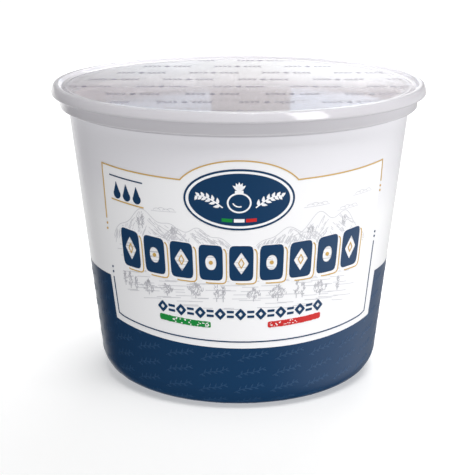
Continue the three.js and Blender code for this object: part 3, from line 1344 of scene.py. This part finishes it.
# The surround's lower half stands in for the floor's mirror image and for the light it sends back.
floor.visible_glossy = False
floor.visible_diffuse = False
floor.visible_shadow = False

surround = bpy.data.worlds.new("studio_surround")
bpy.context.scene.world = surround
surround.use_nodes = True
tree = surround.node_tree
direction = add(tree, "ShaderNodeTexCoord", {}).outputs["Generated"]
side = add(tree, "ShaderNodeSeparateXYZ", {0: direction}).outputs


def strength(*terms):
    """Brightness over the directions: each term is a product of ramps, and the terms add up.

    A ramp is the axis it runs along, where it starts and ends, its values there, and its kind.
    """
    total = 0.0
    for ramps in terms:
        term = 1.0
        for axis, start, end, low, high, *kind in ramps:
            wires = {0: side[axis], 1: start, 2: end, 3: low, 4: high}
            kind = kind[0] if kind else "LINEAR"
            ramp = add(tree, "ShaderNodeMapRange", wires, interpolation_type=kind)
            term = add(tree, "ShaderNodeMath", {0: term, 1: ramp}, operation="MULTIPLY")
        total = add(tree, "ShaderNodeMath", {0: total, 1: term}, operation="ADD")
    return total


# White screens stand round the table up to a quarter of the way up, brightest to the right. Above
# them it is dark. The table sends back a little more light from behind.
screen_top = ("Z", 0.35, 0.45, 1.0, 0.0)
screens = strength(
    [("X", -1, 1, 0.12, 1.62), screen_top],
    [("Y", -1, 1, 0.36, 0.56), screen_top],
)
table = strength([("Y", -1, 1, 0.68, 0.95)], [("X", 0.0, 0.8, 0.0, 0.3)])

# What the gloss shows: a table that is pale far behind and dark in front, with a bright card to
# the right, and behind it a pale wall that is brightest low down. The wall is brighter again just
# right of the middle, and falls off further right.
table_gloss = strength(
    [("X", 0.34, 0.95, 0.02, 0.95, "SMOOTHSTEP")],
    [("Y", 0.65, 1.0, 0.0, 1.45, "SMOOTHSTEP"), ("X", -0.4, 0.4, 1.0, 0.38)],
)
far_right = ("X", 0.13, 0.19, 1.0, 0.15)
wall_gloss = strength(
    [
        ("Z", 0.145, 0.165, 1.12, 0.5),
        ("Y", 0.6, 0.9, 0.1, 1.0),
        ("X", -0.12, 0.12, 0.45, 1.15),
        far_right,
    ],
    [("Z", 0.151, 0.16, 0.0, 1.0), ("X", 0.04, 0.12, 0.0, 0.85), far_right],
)

above_table = strength([("Z", -0.05, 0.05, 0.0, 1.0)])
ray = add(tree, "ShaderNodeLightPath", {}).outputs
wires = {0: above_table, 2: table, 3: screens}
light = add(tree, "ShaderNodeMix", wires, data_type="FLOAT")
wires = {0: above_table, 2: table_gloss, 3: wall_gloss}
gloss_light = add(tree, "ShaderNodeMix", wires, data_type="FLOAT")
wires = {0: ray["Is Glossy Ray"], 2: light, 3: gloss_light}
light = add(tree, "ShaderNodeMix", wires, data_type="FLOAT")
wires = {0: ray["Is Camera Ray"], 2: light, 3: 1.0}
light = add(tree, "ShaderNodeMix", wires, data_type="FLOAT")
tree.links.new(light.outputs[0], tree.nodes["Background"].inputs["Strength"])
tree.nodes["Background"].inputs["Color"].default_value = linear("#ffffff")


def soft_light(name, place, aim, size, power, tint="#ffffff", turn=0.0):
    """A soft rectangular light at a place, aimed at a point, in metres, turned in its own plane."""
    data = bpy.data.lights.new(name, "AREA")
    data.shape = "RECTANGLE"
    data.size, data.size_y = size
    data.energy = power
    data.color = linear(tint)[:3]
    light = bpy.data.objects.new(name, data)
    light.location = place
    light.rotation_euler = (Vector(aim) - Vector(place)).to_track_quat("-Z", "Y").to_euler()
    light.rotation_euler.rotate_axis("Z", math.radians(turn))
    light.visible_camera = False
    bpy.context.collection.objects.link(light)
    return light


soft_light("lamp_front_high", (0.15, -0.52, 1.06), (0, 0, 0.05), (0.6, 0.4), 10.0)
soft_light("lamp_rear_high", (0.2, 0.8, 0.8), (0, 0, 0.05), (0.6, 0.4), 3.2)

# Daylight through two windows behind, which the film and the whey mirror.
DAYLIGHT = "#c5e5ff"
for name, across, up, size, power, turn in (
    ("window_rear_left", -0.078, 0.267, (0.106, 0.06), 0.024, 6.1),
    ("window_rear_right", 0.098, 0.264, (0.094, 0.06), 0.030, -5.7),
):
    soft_light(name, (across, 1.0, up), (across, 0, up), size, power, DAYLIGHT, turn)

# Two white cards that only show in the gloss of the bead: a tall one to the right, and one above.
cards = [
    soft_light("card_front_right", (0.838, -0.899, 0.498), (0, 0, 0.07), (0.45, 1.05), 12.5),
    soft_light("card_above", (0, 0.05, 0.125), (0, 0.05, 0), (0.11, 0.04), 0.02),
]
for card in cards:
    card.visible_diffuse = False

# Two small lamps that no gloss shows: one low over the lid's far edge, and a narrow beam over the
# lid from the left, for the inside of the bead at the right end.
BEAM_SPREAD = 18.0
low_lamps = [
    soft_light("lamp_far_edge", (0.015, 0.068, 0.104), (0.015, 0.05, 0.07), (0.1, 0.015), 0.038),
    soft_light(
        "lamp_right_end", (-0.11, -0.02, 0.112), (0.044, 0.02, 0.0755), (0.04, 0.01), 0.0025
    ),
]
low_lamps[1].data.spread = math.radians(BEAM_SPREAD)
for lamp in low_lamps:
    lamp.visible_glossy = False
